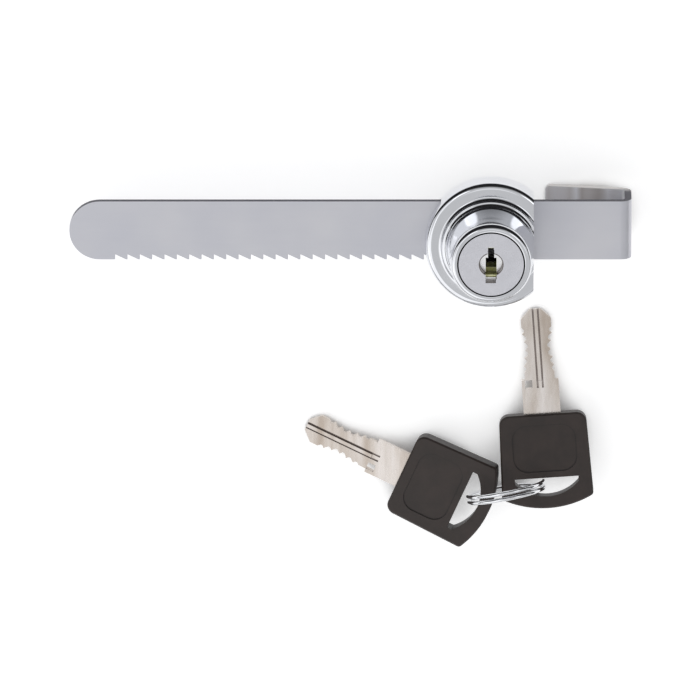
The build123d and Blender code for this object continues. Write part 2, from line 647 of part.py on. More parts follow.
def make_key(plane, name):
    """One key: its metal blade and its moulded plastic head, as two pieces."""
    with BuildPart() as blade:
        with BuildSketch(plane.offset(-KEY_THICKNESS / 2)):
            with BuildLine():
                right = blade_edge(1)
                left = blade_edge(-1)
                half_shank = KEY_SHANK_WIDTH / 2
                Polyline(
                    (KEY_TANG_WIDTH / 2, -KEY_TANG_LENGTH),
                    (KEY_TANG_WIDTH / 2, 0),
                    (half_shank, 0),
                    (half_shank, KEY_SHANK_LENGTH),
                    *right,
                    *reversed(left),
                    (-half_shank, KEY_SHANK_LENGTH),
                    (-half_shank, 0),
                    (-KEY_TANG_WIDTH / 2, 0),
                    (-KEY_TANG_WIDTH / 2, -KEY_TANG_LENGTH),
                    close=True,
                )
            make_face()
            notch_x = -half_shank + KEY_RAIL_WIDTH + KEY_NOTCH_WIDTH / 2
            with Locations((notch_x, KEY_SHANK_LENGTH - KEY_NOTCH_DEPTH / 2)):
                Rectangle(KEY_NOTCH_WIDTH, KEY_NOTCH_DEPTH, mode=Mode.SUBTRACT)
        extrude(amount=KEY_THICKNESS)
        with BuildSketch(plane.offset(-KEY_THICKNESS / 2 - KEY_RAIL_HEIGHT)):
            with Locations((-half_shank + KEY_RAIL_WIDTH / 2, KEY_SHANK_LENGTH / 2)):
                Rectangle(KEY_RAIL_WIDTH, KEY_SHANK_LENGTH)
        extrude(amount=KEY_RAIL_HEIGHT)
        groove_length = KEY_BLADE_LENGTH + KEY_NOTCH_DEPTH
        groove_y = KEY_SHANK_LENGTH - KEY_NOTCH_DEPTH + groove_length / 2
        groove_x = (KEY_RIB_WIDTH + KEY_GROOVE_WIDTH) / 2
        for face_offset in (KEY_THICKNESS / 2 - KEY_GROOVE_DEPTH, -KEY_THICKNESS / 2):
            with BuildSketch(plane.offset(face_offset)):
                with Locations((-groove_x, groove_y), (groove_x, groove_y)):
                    Rectangle(KEY_GROOVE_WIDTH, groove_length)
            extrude(amount=KEY_GROOVE_DEPTH, mode=Mode.SUBTRACT)
        with BuildSketch(plane.offset(-KEY_THICKNESS / 2 - KEY_RIB_HEIGHT)):
            with Locations((0, KEY_SHANK_LENGTH + KEY_BLADE_LENGTH / 2)):
                Rectangle(KEY_RIB_WIDTH, KEY_BLADE_LENGTH)
        extrude(amount=KEY_THICKNESS + 2 * KEY_RIB_HEIGHT)
    save(blade.part, f"{name}_blade")

    with BuildPart() as head:
        with BuildSketch(plane.offset(-HEAD_THICKNESS / 2)) as outline:
            with BuildLine():
                Polyline(
                    (-HEAD_WIDTH_AT_ARCH / 2, -HEAD_LENGTH),
                    (-HEAD_WIDTH / 2, 0),
                    (HEAD_WIDTH / 2, 0),
                    (HEAD_WIDTH_AT_ARCH / 2, -HEAD_LENGTH),
                )
                ThreePointArc(
                    (HEAD_WIDTH_AT_ARCH / 2, -HEAD_LENGTH),
                    (0, -HEAD_LENGTH - HEAD_ARCH),
                    (-HEAD_WIDTH_AT_ARCH / 2, -HEAD_LENGTH),
                )
            make_face()
            fillet(outline.vertices().group_by(Axis.Y)[-1], radius=HEAD_CORNER_RADIUS)
            fillet(outline.vertices().group_by(Axis.Y)[0], radius=HEAD_ARCH_CORNER_RADIUS)
        extrude(amount=HEAD_THICKNESS)
        rims = [
            face.outer_wire().edges()
            for face in head.faces().filter_by(lambda f: abs(f.normal_at().dot(plane.z_dir)) > 0.99)
        ]
        chamfer(rims[0] + rims[1], length=HEAD_EDGE_BEVEL)

        # Half-moon slot for the ring
        slot_y = -RING_SLOT_FROM_BLADE
        slot_side_y = slot_y - RING_SLOT_SIDE
        with BuildSketch(plane.offset(-HEAD_THICKNESS)):
            with BuildLine():
                Polyline(
                    (-RING_SLOT_LENGTH / 2, slot_side_y),
                    (-RING_SLOT_LENGTH / 2, slot_y),
                    (RING_SLOT_LENGTH / 2, slot_y),
                    (RING_SLOT_LENGTH / 2, slot_side_y),
                )
                ThreePointArc(
                    (RING_SLOT_LENGTH / 2, slot_side_y),
                    (0, slot_y - RING_SLOT_WIDTH),
                    (-RING_SLOT_LENGTH / 2, slot_side_y),
                )
            make_face()
        extrude(amount=2 * HEAD_THICKNESS, mode=Mode.SUBTRACT)

        # Sunk panel on both faces
        panel_y = -PANEL_FROM_BLADE - PANEL_LENGTH / 2
        for face_offset in (HEAD_THICKNESS / 2 - PANEL_DEPTH, -HEAD_THICKNESS / 2):
            with BuildSketch(plane.offset(face_offset)):
                with Locations((0, panel_y)):
                    RectangleRounded(PANEL_WIDTH, PANEL_LENGTH, PANEL_CORNER_RADIUS)
            extrude(amount=PANEL_DEPTH, mode=Mode.SUBTRACT)

        # Pocket that the blade's tang fills
        with BuildSketch(plane.offset(-KEY_THICKNESS / 2)):
            with Locations((0, -KEY_TANG_LENGTH / 2)):
                Rectangle(KEY_TANG_WIDTH, KEY_TANG_LENGTH)
        extrude(amount=KEY_THICKNESS, mode=Mode.SUBTRACT)
    save(head.part, f"{name}_head")


make_key(key_plane(LEFT_KEY_PLACE, LEFT_KEY_TURN_DEG), "key_left")
make_key(key_plane(RIGHT_KEY_PLACE, RIGHT_KEY_TURN_DEG), "key_right")


# Split ring: nearly two turns of flat wire, leaning through both key heads
with BuildPart() as key_ring:
    yaw = radians(RING_YAW_DEG)
    lean = radians(RING_LEAN_DEG)
    ring_along = Vector(cos(yaw), sin(yaw), 0)
    ring_up = Vector(-sin(yaw) * cos(lean), cos(yaw) * cos(lean), sin(lean))
    ring_normal = ring_along.cross(ring_up)
    ring_height = table_z + RING_RADIUS * sin(lean) + RING_WIRE_HEIGHT / 2 + RING_ABOVE_TABLE
    turn_pitch = RING_WIRE_WIDTH + RING_TURN_GAP
    coil_start = Vector(RING_CENTRE[0], RING_CENTRE[1], ring_height) - ring_normal * (
        turn_pitch * RING_TURNS / 2
    )
    with BuildLine() as turns:
        Helix(
            pitch=turn_pitch,
            height=turn_pitch * RING_TURNS,
            radius=RING_RADIUS,
            center=coil_start,
            direction=ring_normal,
        )
    start_tangent = turns.line % 0
    start_point = turns.line @ 0
    with BuildSketch(Plane(origin=start_point, x_dir=start_point - coil_start, z_dir=start_tangent)):
        Rectangle(RING_WIRE_HEIGHT, RING_WIRE_WIDTH)
    sweep(path=turns.line, is_frenet=True)
save(key_ring.part, "key_ring")
print("least gap between the ring's turns:", round(turn_pitch - RING_WIRE_WIDTH, 2), "mm")
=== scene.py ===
import json
import math

import bmesh
import bpy
from mathutils import Matrix, Vector


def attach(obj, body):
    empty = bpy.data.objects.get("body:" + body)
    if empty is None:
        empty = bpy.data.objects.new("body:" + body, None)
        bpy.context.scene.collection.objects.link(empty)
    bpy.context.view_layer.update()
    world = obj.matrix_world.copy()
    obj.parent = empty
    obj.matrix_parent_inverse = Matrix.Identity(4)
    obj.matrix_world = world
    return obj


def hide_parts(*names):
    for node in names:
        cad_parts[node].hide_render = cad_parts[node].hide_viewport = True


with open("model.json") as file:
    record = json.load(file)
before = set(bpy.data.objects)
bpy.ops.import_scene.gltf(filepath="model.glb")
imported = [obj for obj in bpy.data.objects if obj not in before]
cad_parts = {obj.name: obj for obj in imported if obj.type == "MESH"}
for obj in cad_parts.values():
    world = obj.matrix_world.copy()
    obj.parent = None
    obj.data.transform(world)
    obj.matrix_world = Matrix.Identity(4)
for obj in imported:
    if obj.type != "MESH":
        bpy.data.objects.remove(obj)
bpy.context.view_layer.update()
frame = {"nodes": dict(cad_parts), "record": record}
nodes = frame["nodes"]
scene = bpy.context.scene
MM = 0.001

# Outside of the lock head, as in the solids, in millimetres
AXIS_Y = -2.8
REAR_Z = -1.32
FLANGE_Z = 5.6
FACE_Z = 19.7
FLANGE_R = 15.9
FLAT_X = 10.4
BEAD_R = 11.9
BEAD_Z = 6.9
RIM_R = 9.95

# Rounded corners of the head, and points of the neck's curve, whose two end points only steer it
REAR_EDGE_R = 0.5
FLANGE_EDGE_R = 1.5
BEAD_FOOT_R = 0.8
BEAD_EDGE_R = 0.45
NECK_CURVE = (
    (BEAD_R - 0.4, BEAD_Z - 0.2), (BEAD_R - 0.62, BEAD_Z + 0.06), (10.74, 7.6), (10.47, 9.2),
    (10.17, 11.4), (9.86, 14.2), (9.70, 16.6), (9.66, 17.5), (9.66, 18.4),
)
RIM_FOOT_R = 0.12
RIM_FOOT_INNER = (9.78, 17.5)
RIM_FOOT_OUTER = (RIM_R - RIM_FOOT_R, 17.74)
RIM_EDGE_WIDTH = 1.2
RIM_EDGE_HEIGHT = 1.5
MOUTH_EDGE_R = 0.1

# Room inside the lock head
FACE_BORE_R = 8.18
FACE_SEAT_Z = 18.04
BARREL_BORE_R = 6.56
CLIP_BORE_R = 7.45
CLIP_BORE_END_Z = 4.9
CHANNEL_HALF_WIDTH = 7.58
CHANNEL_LOW_Z = -0.12
CHANNEL_HIGH_Z = 1.72
COVER_RECESS_R = 14.2
COVER_RECESS_FLAT_X = 8.9
POCKET_LOW = (-5.95, -14.65, CHANNEL_LOW_Z)
POCKET_HIGH = (8.35, 6.28, 4.05)
GROOVE_HALF_WIDTH = 2.65
GROOVE_REACH = 7.55
GROOVE_LOW_Z = 6.5
GROOVE_HIGH_Z = 18.1
SCREW_HOLE_R = 1.0
SCREW_HOLE_END_Z = 3.18
SCREW_PLACES = ((0.0, 9.4), (-9.6, -10.3))

# Reach of the cutting shapes beyond the head
CUTTER_REACH = 30
CUTTER_FOOT_Z = -5
RECESS_FOOT_Z = -2
SCREW_HOLE_FOOT_Z = -1

# Facets of the turned shapes
HOUSING_FACETS = 192
RECESS_FACETS = 125
SCREW_HOLE_FACETS = 32

# Painted shade lines round the plug and its key hole
GAP_OUTER_R = 8.26
PLUG_RIM_R = 7.88
KEY_HOLE_EDGE_R = 2.86

# Split ring
RING_CENTRE = (4.0, -68.6, -2.247)
RING_YAW_DEG = 10.0
RING_LEAN_DEG = 78.0
RING_PITCH = 1.42
RING_TURNS = 1.9
RING_R = 9.4
WIRE_R = 0.5
WIRE_STEPS = 360
WIRE_SIDES = 16

# Turns of the keys about the upright, which their drawn marks follow
LEFT_KEY_TURN_DEG = 66.0
RIGHT_KEY_TURN_DEG = 4.0

# Table under the keys, and the angles from which an edge stays sharp
TABLE_Z = -12.342
SHARP_DEG = 32.0
WIRE_SHARP_DEG = 60


# Shader nodes that materials, floor and world share
def feed(tree, socket, value):
    """Link a socket to another one, or set it to a number or a colour."""
    if isinstance(value, bpy.types.NodeSocket):
        tree.links.new(value, socket)
    elif isinstance(value, tuple):
        socket.default_value = (*value, 1)
    else:
        socket.default_value = value


def maths(tree, operation, *values):
    node = tree.nodes.new("ShaderNodeMath")
    node.operation = operation
    for socket, value in zip(node.inputs, values):
        feed(tree, socket, value)
    return node.outputs[0]


def span(tree, value, low, high, from_low=0.0, from_high=1.0, smooth=False):
    """A value between from_low and from_high, mapped to low and high, and held at them beyond."""
    node = tree.nodes.new("ShaderNodeMapRange")
    if smooth:
        node.interpolation_type = "SMOOTHSTEP"
    feed(tree, node.inputs["Value"], value)
    for name, bound in (("From Min", from_low), ("From Max", from_high), ("To Min", low), ("To Max", high)):
        node.inputs[name].default_value = bound
    return node.outputs["Result"]


def mix(tree, factor, first, second):
    node = tree.nodes.new("ShaderNodeMix")
    node.data_type = "RGBA"
    for socket, value in ((0, factor), (6, first), (7, second)):
        feed(tree, node.inputs[socket], value)
    return node.outputs[2]


def part_of(tree, vector, axis):
    node = tree.nodes.new("ShaderNodeSeparateXYZ")
    tree.links.new(vector, node.inputs[0])
    return node.outputs[axis]


# Node materials
class Shade:
    """One node material: a principled shader with helpers for the textures that feed it."""

    def __init__(self, name, **values):
        self.material = bpy.data.materials.new(name)
        self.material.use_nodes = True
        self.tree = self.material.node_tree
        self.nodes = self.tree.nodes
        self.shader = self.nodes["Principled BSDF"]
        for socket, value in values.items():
            self.shader.inputs[socket].default_value = value
        self.place = self.nodes.new("ShaderNodeTexCoord").outputs["Object"]

    def link(self, source, target):
        self.tree.links.new(source, target)

    def mapped(self, scale, turn=(0, 0, 0), shift=(0, 0, 0)):
        node = self.nodes.new("ShaderNodeMapping")
        node.inputs["Location"].default_value = shift
        node.inputs["Rotation"].default_value = turn
        node.inputs["Scale"].default_value = scale
        self.link(self.place, node.inputs["Vector"])
        return node.outputs["Vector"]

    def noise(self, scale, detail=3.0, stretch=(1, 1, 1), turn=(0, 0, 0)):
        node = self.nodes.new("ShaderNodeTexNoise")
        node.inputs["Scale"].default_value = scale
        node.inputs["Detail"].default_value = detail
        self.link(self.mapped(stretch, turn), node.inputs["Vector"])
        return node.outputs["Fac"]

    def ramp(self, factor, *stops):
        node = self.nodes.new("ShaderNodeValToRGB")
        elements = node.color_ramp.elements
        while len(elements) < len(stops):
            elements.new(0.5)
        for element, (position, colour) in zip(elements, stops):
            element.position = position
            element.color = (*colour, 1)
        self.link(factor, node.inputs["Fac"])
        return node.outputs["Color"]

    def span(self, value, low, high, from_low=0.0, from_high=1.0):
        return span(self.tree, value, low, high, from_low, from_high)

    def mix(self, factor, first, second):
        return mix(self.tree, factor, first, second)

    def maths(self, operation, *values):
        return maths(self.tree, operation, *values)

    def height(self):
        return part_of(self.tree, self.place, "Z")

    def beside(self, axis):
        """1 on surfaces that run along the axis, 0 on those that face along it."""
        normal = self.nodes.new("ShaderNodeTexCoord").outputs["Normal"]
        facing = self.maths("ABSOLUTE", part_of(self.tree, normal, axis))
        return self.span(facing, 1.0, 0.0, 0.3, 0.6)

    def crevice_shade(self, reach):
        """Mask for painted shade: 1 deep in corners narrower than the reach in millimetres, 0 in the open.
        """
        node = self.nodes.new("ShaderNodeAmbientOcclusion")
        node.samples = 12
        node.only_local = True
        node.inputs["Distance"].default_value = reach * MM
        return self.span(node.outputs["AO"], 1.0, 0.0, 0.45, 0.85)

    def axis_distance(self):
        """Distance from the plug's axis."""
        node = self.nodes.new("ShaderNodeVectorMath")
        node.operation = "LENGTH"
        self.link(self.mapped((1, 1, 0), shift=(0, -AXIS_Y * MM, 0)), node.inputs[0])
        return node.outputs["Value"]

    def bump(self, height, strength, distance):
        node = self.nodes.new("ShaderNodeBump")
        node.inputs["Strength"].default_value = strength
        node.inputs["Distance"].default_value = distance
        self.link(height, node.inputs["Height"])
        self.link(node.outputs["Normal"], self.shader.inputs["Normal"])

    def colour(self, source):
        self.link(source, self.shader.inputs["Base Color"])

    def roughness(self, source):
        self.link(source, self.shader.inputs["Roughness"])


def bar_steel():
    """Satin steel, with the sides of the strip painted dark as shade, and painted reflection bands on the
    bent leg below the strip.
    """
    shade = Shade("bar_steel", Metallic=1.0)
    face = shade.ramp(shade.noise(60, 2), (0.3, (0.59, 0.595, 0.645)), (0.7, (0.64, 0.64, 0.675)))
    # Light and dark bands on the bent leg are painted reflections
    reflection_bands = shade.ramp(
        shade.noise(95, 1, (1, 0.02, 0.02)),
        (0.30, (0.92, 0.91, 0.91)), (0.42, (0.62, 0.58, 0.55)), (0.50, (0.97, 0.97, 0.98)),
        (0.60, (0.76, 0.73, 0.71)), (0.72, (0.95, 0.95, 0.97)),
    )
    low = shade.span(shade.height(), 1.0, 0.0, -9.0 * MM, -6.0 * MM)
    face = shade.mix(low, face, reflection_bands)
    # The sides of the strip are painted near-black as shade, and the sides of the leg stay light
    edge_shade = shade.mix(low, (0.075, 0.073, 0.09), (0.66, 0.64, 0.63))
    shade.colour(shade.mix(shade.beside("Y"), edge_shade, face))
    shade.roughness(shade.span(shade.noise(900, 4, (0.12, 1, 1)), 0.40, 0.52))
    shade.bump(shade.noise(9000, 3, (0.05, 1, 1)), 0.08, 0.00002)
    return shade.material


def chrome(name, tint, rough, shade_within=0.0):
    """Bright plating. Nearer than the given radius to the plug's axis it is painted near-black, as painted
    shade in the gap round the plug.
    """
    shade = Shade(name, Metallic=1.0)
    plate = shade.ramp(shade.noise(300, 2), (0.35, tint), (0.7, tuple(c * 1.03 for c in tint)))
    # Painted shade in the gap round the plug and in the bore
    if shade_within:
        outside = shade.span(shade.axis_distance(), 0.0, 1.0, (shade_within - 0.02) * MM, shade_within * MM)
        plate = shade.mix(outside, (0.01, 0.01, 0.01), plate)
    shade.colour(plate)
    shade.roughness(shade.span(shade.noise(1500, 3), rough * 0.7, rough * 1.5))
    shade.bump(shade.noise(160, 1), 0.04, 0.00002)
    return shade.material


def plug_chrome():
    """Satin plating on the face. The bore and slots below it are painted dark, as shade."""
    shade = Shade("plug_chrome", Metallic=1.0)
    face = shade.ramp(shade.noise(400, 3), (0.35, (0.70, 0.70, 0.745)), (0.7, (0.74, 0.74, 0.785)))

    # Painted highlight on the floor of the key hole, painted shade on its walls, and a painted shade line
    # round it
    floor = shade.span(shade.height(), 1.0, 0.0, (FACE_Z - 1.7) * MM, (FACE_Z - 1.5) * MM)
    face = shade.mix(floor, face, (0.97, 0.97, 0.98))
    wall = shade.ramp(shade.noise(500, 2), (0.3, (0.06, 0.05, 0.04)), (0.7, (0.16, 0.14, 0.13)))
    face = shade.mix(shade.beside("Z"), face, wall)
    from_edge = shade.maths("SUBTRACT", shade.axis_distance(), KEY_HOLE_EDGE_R * MM)
    line = shade.span(shade.maths("ABSOLUTE", from_edge), 1.0, 0.0, 0.10 * MM, 0.19 * MM)
    face = shade.mix(line, face, (0.16, 0.14, 0.13))

    # Painted shade: near-black for all that lies deeper than the face disc or outside its rim
    above = shade.span(shade.height(), 0.0, 1.0, (FACE_Z - 2.0) * MM, (FACE_Z - 1.85) * MM)
    within = shade.span(shade.axis_distance(), 1.0, 0.0, PLUG_RIM_R * MM, (PLUG_RIM_R + 0.02) * MM)
    shade.colour(shade.mix(shade.maths("MULTIPLY", above, within), (0.012, 0.009, 0.007), face))
    shade.roughness(shade.span(shade.noise(2500, 4), 0.18, 0.32))
    shade.bump(shade.noise(6000, 3), 0.08, 0.00002)
    return shade.material


def key_metal(name, turn_deg):
    """Plating with a grain drawn along the key, its light streaks partly painted highlights, with painted
    shade in its grooves.
    """
    shade = Shade(name, Metallic=1.0)
    turn = (0, 0, -math.radians(turn_deg))
    # Light streaks along the key, partly grain and partly painted highlights
    plate = shade.ramp(
        shade.noise(260, 4, (1, 0.12, 1), turn),
        (0.32, (0.50, 0.43, 0.37)), (0.5, (0.66, 0.60, 0.55)), (0.68, (0.81, 0.76, 0.73)),
    )
    # Painted shade in the grooves and notches
    shade.colour(shade.mix(shade.crevice_shade(0.9), plate, (0.20, 0.165, 0.15)))
    shade.roughness(shade.span(shade.noise(2500, 4, (1, 0.2, 1), turn), 0.18, 0.38))
    shade.bump(shade.noise(420, 3, (1, 0.15, 1), turn), 0.35, 0.0001)
    return shade.material


def key_plastic():
    """Dark brown moulding with a fine grain, and painted shade in its corners and panel outline."""
    shade = Shade("key_plastic")
    moulded = shade.ramp(shade.noise(240, 3), (0.3, (0.023, 0.015, 0.012)), (0.7, (0.035, 0.022, 0.018)))
    # Painted shade in the corners and the panel's outline
    shade.colour(shade.mix(shade.crevice_shade(0.6), moulded, (0.006, 0.005, 0.004)))
    shade.roughness(shade.span(shade.noise(1200, 3), 0.40, 0.55))
    shade.bump(shade.noise(5200, 4), 0.22, 0.00005)
    return shade.material


def wafer_brass():
    """Pale yellow metal of the wafers."""
    shade = Shade("wafer_brass", Metallic=0.85, Roughness=0.4)
    shade.colour(shade.ramp(shade.noise(900, 3), (0.3, (0.80, 0.80, 0.36)), (0.7, (0.90, 0.90, 0.58))))
    shade.bump(shade.noise(6000, 3), 0.15, 0.00003)
    return shade.material


def small_steel():
    """Plain grey steel with a fine grain."""
    shade = Shade("small_steel", Metallic=1.0, Roughness=0.38)
    shade.colour(shade.ramp(shade.noise(700, 3), (0.3, (0.50, 0.50, 0.51)), (0.7, (0.62, 0.62, 0.63))))
    shade.bump(shade.noise(4000, 3), 0.15, 0.00003)
    return shade.material


MATERIALS = {
    "bar_steel": bar_steel(),
    "head_chrome": chrome("head_chrome", (0.74, 0.75, 0.78), 0.06, GAP_OUTER_R),
    "plug_chrome": plug_chrome(),
    "ring_steel": chrome("ring_steel", (0.78, 0.79, 0.81), 0.10),
    "key_left_metal": key_metal("key_left_metal", LEFT_KEY_TURN_DEG),
    "key_right_metal": key_metal("key_right_metal", RIGHT_KEY_TURN_DEG),
    "key_plastic": key_plastic(),
    "wafer_brass": wafer_brass(),
    "small_steel": small_steel(),
}
NODE_MATERIALS = {
    "cylinder_plug": "plug_chrome",
    "key_left_blade": "key_left_metal",
    "key_right_blade": "key_right_metal",
}
for part in frame["record"]["subparts"]:
    name = part["node"]
    mesh = nodes[name].data
    mesh.materials.clear()
    mesh.materials.append(MATERIALS[NODE_MATERIALS.get(name) or part["material_slot"]])


# Softened edges on the solids that keep their own form: width in millimetres and steps
for name, width, segments in (
    *((f"wafer_{n}", 0.28, 3) for n in range(1, 7)),
    ("key_left_head", 0.45, 4),
    ("key_right_head", 0.45, 4),
    ("key_left_blade", 0.09, 2),
    ("key_right_blade", 0.09, 2),
    ("ratchet_bar", 0.10, 2),
    ("rear_cover", 0.10, 2),
):
    soft = nodes[name].modifiers.new("soft_edges", "BEVEL")
    soft.width = width * MM
    soft.segments = segments
    soft.limit_method = "ANGLE"
    soft.angle_limit = math.radians(28)
    soft.harden_normals = True
    soft.use_clamp_overlap = True


# Pieces that replace coarse solids
def smooth_but_sharp(mesh, sharp_deg):
    mesh.shade_smooth()
    mesh.set_sharp_from_angle(angle=math.radians(sharp_deg))


def new_piece(name, mesh, material, sharp_deg=SHARP_DEG):
    piece = bpy.data.objects.new(name, mesh)
    scene.collection.objects.link(piece)
    mesh.materials.clear()
    mesh.materials.append(MATERIALS[material])
    smooth_but_sharp(mesh, sharp_deg)
    return piece


def finished(shape, name):
    """Turn a shape under construction into a mesh, and let go of it."""
    mesh = bpy.data.meshes.new(name)
    shape.to_mesh(mesh)
    shape.free()
    return mesh


def arc(centre, radius, start_deg, end_deg, steps):
    """Points of an arc in the profile's plane: radius from the axis and height."""
    angles = [math.radians(start_deg + (end_deg - start_deg) * i / steps) for i in range(steps + 1)]
    return [(centre[0] + radius * math.cos(a), centre[1] + radius * math.sin(a)) for a in angles]


def smooth_curve(points, steps):
    """Catmull-Rom points through the inner ones of a list of profile points."""
    found = []
    for before, first, second, after in zip(points, points[1:], points[2:], points[3:]):
        for step in range(steps):
            t = step / steps
            found.append(tuple(
                0.5 * (
                    2 * q + (r - p) * t
                    + (2 * p - 5 * q + 4 * r - u) * t * t
                    + (3 * q - p - 3 * r + u) * t ** 3
                )
                for p, q, r, u in zip(before, first, second, after)
            ))
    return found + [points[-2]]


def lathe(profile, segments, centre=(0.0, AXIS_Y), loop=False):
    """A closed solid turned about a line along Z, from a profile that ends on the line or is a loop."""
    shape = bmesh.new()
    rings = []
    for radius, height in profile:
        if radius < 1e-6:
            rings.append([shape.verts.new((centre[0] * MM, centre[1] * MM, height * MM))])
        else:
            rings.append([
                shape.verts.new((
                    (centre[0] + radius * math.cos(2 * math.pi * i / segments)) * MM,
                    (centre[1] + radius * math.sin(2 * math.pi * i / segments)) * MM,
                    height * MM,
                ))
                for i in range(segments)
            ])
    for low, high in zip(rings, rings[1:] + rings[:1] if loop else rings[1:]):
        for i in range(segments):
            after = (i + 1) % segments
            corners = [
                low[i % len(low)], low[after % len(low)], high[after % len(high)], high[i % len(high)]
            ]
            corners = list(dict.fromkeys(corners))
            if len(corners) > 2:
                shape.faces.new(corners)
    bmesh.ops.recalc_face_normals(shape, faces=shape.faces)
    return finished(shape, "turned")


def disc(radius, low_z, high_z, segments, centre=(0.0, AXIS_Y)):
    return lathe([(0, low_z), (radius, low_z), (radius, high_z), (0, high_z)], segments, centre)


def block(low, high):
    shape = bmesh.new()
    bmesh.ops.create_cube(shape, size=1.0)
    for vertex in shape.verts:
        vertex.co = [(a + b) / 2 * MM + c * (b - a) * MM for a, b, c in zip(low, high, vertex.co)]
    return finished(shape, "block")


def cut(piece, cutter_mesh):
    cutter = bpy.data.objects.new("cutter", cutter_mesh)
    scene.collection.objects.link(cutter)
    change = piece.modifiers.new("cut", "BOOLEAN")
    change.operation = "DIFFERENCE"
    change.solver = "EXACT"
    change.object = cutter
    with bpy.context.temp_override(object=piece, active_object=piece, selected_objects=[piece]):
        bpy.ops.object.modifier_apply(modifier="cut")
    bpy.data.objects.remove(cutter)


def housing_profile():
    """The housing's section as a loop, from the clip's bore round the outside to the face and down."""
    points = [(CLIP_BORE_R, REAR_Z), (FLANGE_R - REAR_EDGE_R, REAR_Z)]
    points += arc((FLANGE_R - REAR_EDGE_R, REAR_Z + REAR_EDGE_R), REAR_EDGE_R, -90, 0, 4)[1:]
    points += arc((FLANGE_R - FLANGE_EDGE_R, FLANGE_Z - FLANGE_EDGE_R), FLANGE_EDGE_R, 0, 90, 14)
    points += arc((BEAD_R + BEAD_FOOT_R, FLANGE_Z + BEAD_FOOT_R), BEAD_FOOT_R, -90, -180, 10)
    points += arc((BEAD_R - BEAD_EDGE_R, BEAD_Z - BEAD_EDGE_R), BEAD_EDGE_R, 0, 90, 6)[1:]
    points += smooth_curve(NECK_CURVE, 5)
    points += arc(RIM_FOOT_INNER, RIM_FOOT_R, 180, 90, 3)[1:]
    points += arc(RIM_FOOT_OUTER, RIM_FOOT_R, -90, 0, 3)
    points += [
        (RIM_R - RIM_EDGE_WIDTH + RIM_EDGE_WIDTH * r, FACE_Z - RIM_EDGE_HEIGHT + RIM_EDGE_HEIGHT * z)
        for r, z in arc((0, 0), 1.0, 0, 90, 14)[1:]
    ]
    points += arc((FACE_BORE_R + MOUTH_EDGE_R, FACE_Z - MOUTH_EDGE_R), MOUTH_EDGE_R, 90, 180, 3)
    points += [
        (FACE_BORE_R, FACE_SEAT_Z),
        (BARREL_BORE_R, FACE_SEAT_Z),
        (BARREL_BORE_R, CLIP_BORE_END_Z),
        (CLIP_BORE_R, CLIP_BORE_END_Z),
    ]
    return points


def housing():
    turned = lathe(housing_profile(), HOUSING_FACETS, loop=True)
    piece = new_piece("lock_housing_turned", turned, "head_chrome")

    # Flat for the door's edge, and channel for the bar
    reach = CUTTER_REACH
    cut(piece, block((FLAT_X, -reach, CUTTER_FOOT_Z), (reach, reach, reach)))
    low = (-reach, -CHANNEL_HALF_WIDTH, CHANNEL_LOW_Z)
    high = (reach, CHANNEL_HALF_WIDTH, CHANNEL_HIGH_Z)
    cut(piece, block(low, high))

    # Recess for the rear cover, round with a flat
    recess_disc = disc(COVER_RECESS_R, RECESS_FOOT_Z, CHANNEL_LOW_Z, RECESS_FACETS)
    recess = new_piece("recess", recess_disc, "head_chrome")
    cut(recess, block((COVER_RECESS_FLAT_X, -reach, CUTTER_FOOT_Z), (reach, reach, -CUTTER_FOOT_Z)))
    recess_mesh = recess.data
    bpy.data.objects.remove(recess)
    cut(piece, recess_mesh)

    # Pocket for the pawl, grooves for the wafers, and screw holes
    cut(piece, block(POCKET_LOW, POCKET_HIGH))
    for half_x, half_y in ((GROOVE_HALF_WIDTH, GROOVE_REACH), (GROOVE_REACH, GROOVE_HALF_WIDTH)):
        low = (-half_x, AXIS_Y - half_y, GROOVE_LOW_Z)
        high = (half_x, AXIS_Y + half_y, GROOVE_HIGH_Z)
        cut(piece, block(low, high))
    for place in SCREW_PLACES:
        hole = disc(SCREW_HOLE_R, SCREW_HOLE_FOOT_Z, SCREW_HOLE_END_Z, SCREW_HOLE_FACETS, place)
        cut(piece, hole)
    smooth_but_sharp(piece.data, SHARP_DEG)
    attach(piece, "head")
    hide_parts("lock_housing")


housing()


def key_ring():
    """Split ring of round wire, on the path of the ring among the solids."""
    yaw = math.radians(RING_YAW_DEG)
    lean = math.radians(RING_LEAN_DEG)
    along = Vector((math.cos(yaw), math.sin(yaw), 0))
    rise = Vector((-math.sin(yaw) * math.cos(lean), math.cos(yaw) * math.cos(lean), math.sin(lean)))
    normal = along.cross(rise)
    start = Vector(RING_CENTRE) - normal * (RING_PITCH * RING_TURNS / 2)
    shape = bmesh.new()
    rings = []
    for i in range(WIRE_STEPS + 1):
        angle = 2 * math.pi * RING_TURNS * i / WIRE_STEPS
        out = along * math.cos(angle) + rise * math.sin(angle)
        centre = start + out * RING_R + normal * (RING_PITCH * RING_TURNS * i / WIRE_STEPS)
        rings.append([
            shape.verts.new((centre + out * (WIRE_R * math.cos(a)) + normal * (WIRE_R * math.sin(a))) * MM)
            for a in (2 * math.pi * k / WIRE_SIDES for k in range(WIRE_SIDES))
        ])
    for low, high in zip(rings, rings[1:]):
        for k in range(WIRE_SIDES):
            after = (k + 1) % WIRE_SIDES
            shape.faces.new([low[k], low[after], high[after], high[k]])
    shape.faces.new(rings[0])
    shape.faces.new(rings[-1])
    bmesh.ops.recalc_face_normals(shape, faces=shape.faces)
    piece = new_piece("key_ring_wire", finished(shape, "ring_wire"), "ring_steel", WIRE_SHARP_DEG)
    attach(piece, "ring")
    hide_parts("key_ring")


key_ring()


# Floor, which shows white, with a soft shade close to what lies on it
FLOOR_DROP = 0.00002
FLOOR_GREY = (0.74, 0.74, 0.74)
FLOOR_DARK = (0.03, 0.03, 0.035)
DARK_FROM_Y = (0.035, 0.050)
CONTACT_REACH = 0.008
CONTACT_LIFT = 1.5
CONTACT_POWER = 3.0
FLOOR_GLOW = 0.58


